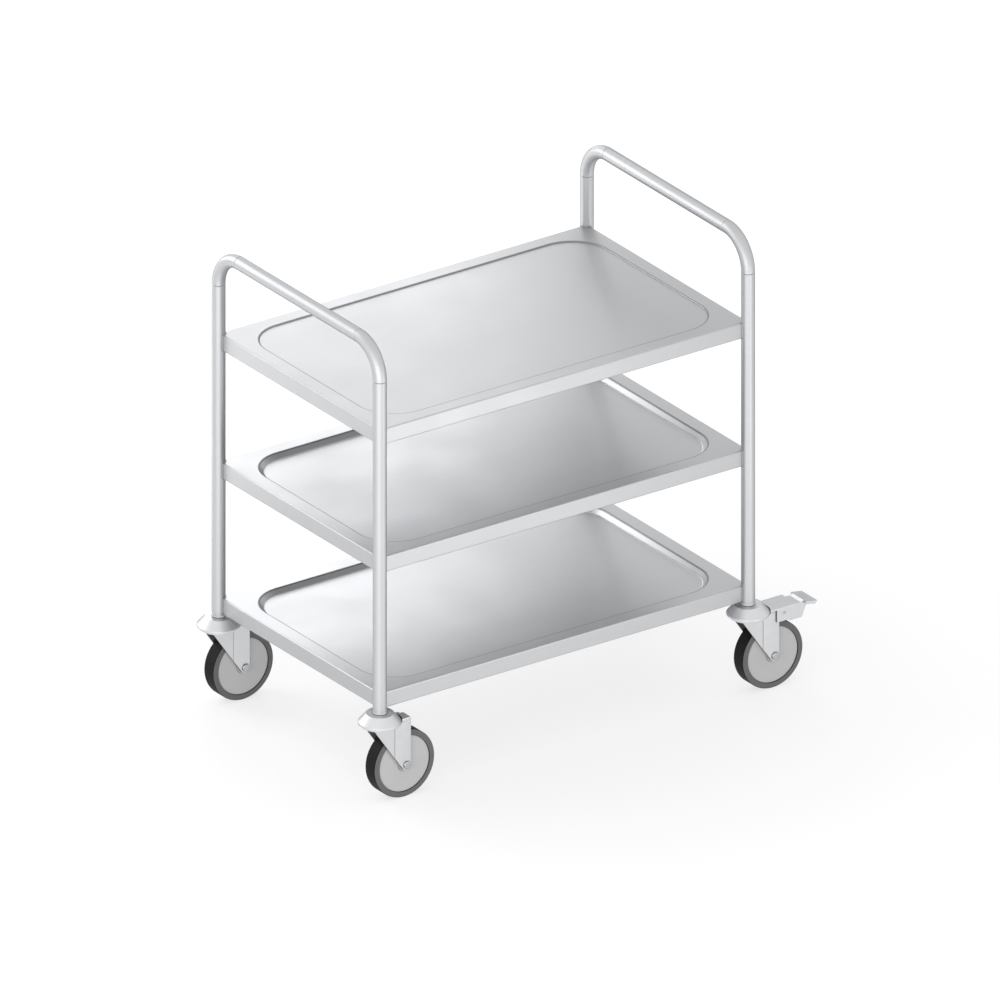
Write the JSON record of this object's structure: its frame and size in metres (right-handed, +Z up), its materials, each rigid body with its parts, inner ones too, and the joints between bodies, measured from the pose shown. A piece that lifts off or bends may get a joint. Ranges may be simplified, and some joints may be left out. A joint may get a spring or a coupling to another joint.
{
  "type": "serving trolley",
  "caption": "Shelf trolley of welded stainless tube and pressed sheet with a push bar at each end, on swivel castors, one with a foot brake.",
  "frame": {"origin": "middle of the bounding box's base, on the floor that the wheels stand on", "axes": "+X along the shelves towards the braked end, -Y the front, +Z up"},
  "size_m": [0.9722, 0.578, 0.8995],
  "materials": {
    "stainless_tube": "satin ground tube",
    "stainless_sheet": "brushed sheet",
    "castor_steel": "bright zinc plated pressing",
    "bolt_steel": "zinc plated",
    "bearing_steel": "polished",
    "spring_steel": "plain",
    "wheel_plastic": "moulded, matt",
    "tyre_rubber": "matt rubber",
    "brake_rubber": "matt rubber",
    "nylon": "turned"
  },
  "bodies": {
    "frame": {"left_front_post": "stainless_tube", "left_front_elbow": "stainless_tube", "left_front_swivel_cap": "castor_steel", "left_rear_post": "stainless_tube", "left_rear_elbow": "stainless_tube", "left_rear_swivel_cap": "castor_steel", "right_front_post": "stainless_tube", "right_front_elbow": "stainless_tube", "right_front_swivel_cap": "castor_steel", "right_rear_post": "stainless_tube", "right_rear_elbow": "stainless_tube", "right_rear_swivel_cap": "castor_steel", "left_push_bar": "stainless_tube", "right_push_bar": "stainless_tube", "top_shelf": "stainless_sheet", "middle_shelf": "stainless_sheet", "bottom_shelf": "stainless_sheet", "stem_plugs": "nylon", "stem_cones": "bolt_steel", "stem_washers": "bolt_steel", "stem_bolts": "bolt_steel"},
    "left_front_castor": {"left_front_fork": "castor_steel", "left_front_axle_bolt": "bolt_steel", "left_front_axle_nut": "bolt_steel", "left_front_axle_sleeve": "bolt_steel", "left_front_swivel_balls": "bearing_steel"},
    "left_front_wheel": {"left_front_wheel_core": "wheel_plastic", "left_front_tyre": "tyre_rubber"},
    "left_rear_castor": {"left_rear_fork": "castor_steel", "left_rear_axle_bolt": "bolt_steel", "left_rear_axle_nut": "bolt_steel", "left_rear_axle_sleeve": "bolt_steel", "left_rear_swivel_balls": "bearing_steel"},
    "left_rear_wheel": {"left_rear_wheel_core": "wheel_plastic", "left_rear_tyre": "tyre_rubber"},
    "right_front_castor": {"right_front_fork": "castor_steel", "right_front_axle_bolt": "bolt_steel", "right_front_axle_nut": "bolt_steel", "right_front_axle_sleeve": "bolt_steel", "right_front_swivel_balls": "bearing_steel", "brake_housing": "castor_steel", "brake_pivot_pin": "bolt_steel", "brake_detent_spring": "spring_steel"},
    "right_front_wheel": {"right_front_wheel_core": "wheel_plastic", "right_front_tyre": "tyre_rubber"},
    "right_rear_castor": {"right_rear_fork": "castor_steel", "right_rear_axle_bolt": "bolt_steel", "right_rear_axle_nut": "bolt_steel", "right_rear_axle_sleeve": "bolt_steel", "right_rear_swivel_balls": "bearing_steel"},
    "right_rear_wheel": {"right_rear_wheel_core": "wheel_plastic", "right_rear_tyre": "tyre_rubber"},
    "brake_lever": {"brake_pedal": "castor_steel", "brake_shoe": "brake_rubber"}
  },
  "joints": [
    {"name": "left_front_swivel", "type": "hinge", "parent": "frame", "child": "left_front_castor", "pos_m": [-0.4471, -0.25, 0.1505], "axis": [0, 0, 1], "continuous": true},
    {"name": "left_front_roll", "type": "hinge", "parent": "left_front_castor", "child": "left_front_wheel", "pos_m": [-0.4036, -0.25, 0.065], "axis": [0, 1, 0], "continuous": true},
    {"name": "left_rear_swivel", "type": "hinge", "parent": "frame", "child": "left_rear_castor", "pos_m": [-0.4471, 0.25, 0.1505], "axis": [0, 0, 1], "continuous": true},
    {"name": "left_rear_roll", "type": "hinge", "parent": "left_rear_castor", "child": "left_rear_wheel", "pos_m": [-0.4036, 0.25, 0.065], "axis": [0, 1, 0], "continuous": true},
    {"name": "right_front_swivel", "type": "hinge", "parent": "frame", "child": "right_front_castor", "pos_m": [0.3529, -0.25, 0.1505], "axis": [0, 0, 1], "continuous": true},
    {"name": "right_front_roll", "type": "hinge", "parent": "right_front_castor", "child": "right_front_wheel", "pos_m": [0.3964, -0.25, 0.065], "axis": [0, 1, 0], "continuous": true},
    {"name": "right_rear_swivel", "type": "hinge", "parent": "frame", "child": "right_rear_castor", "pos_m": [0.3529, 0.25, 0.1505], "axis": [0, 0, 1], "continuous": true},
    {"name": "right_rear_roll", "type": "hinge", "parent": "right_rear_castor", "child": "right_rear_wheel", "pos_m": [0.3964, 0.25, 0.065], "axis": [0, 1, 0], "continuous": true},
    {"name": "brake_pedal_press", "type": "hinge", "parent": "right_front_castor", "child": "brake_lever", "pos_m": [0.4149, -0.25, 0.146], "axis": [0, 1, 0], "range_deg": [0, 8]}
  ]
}
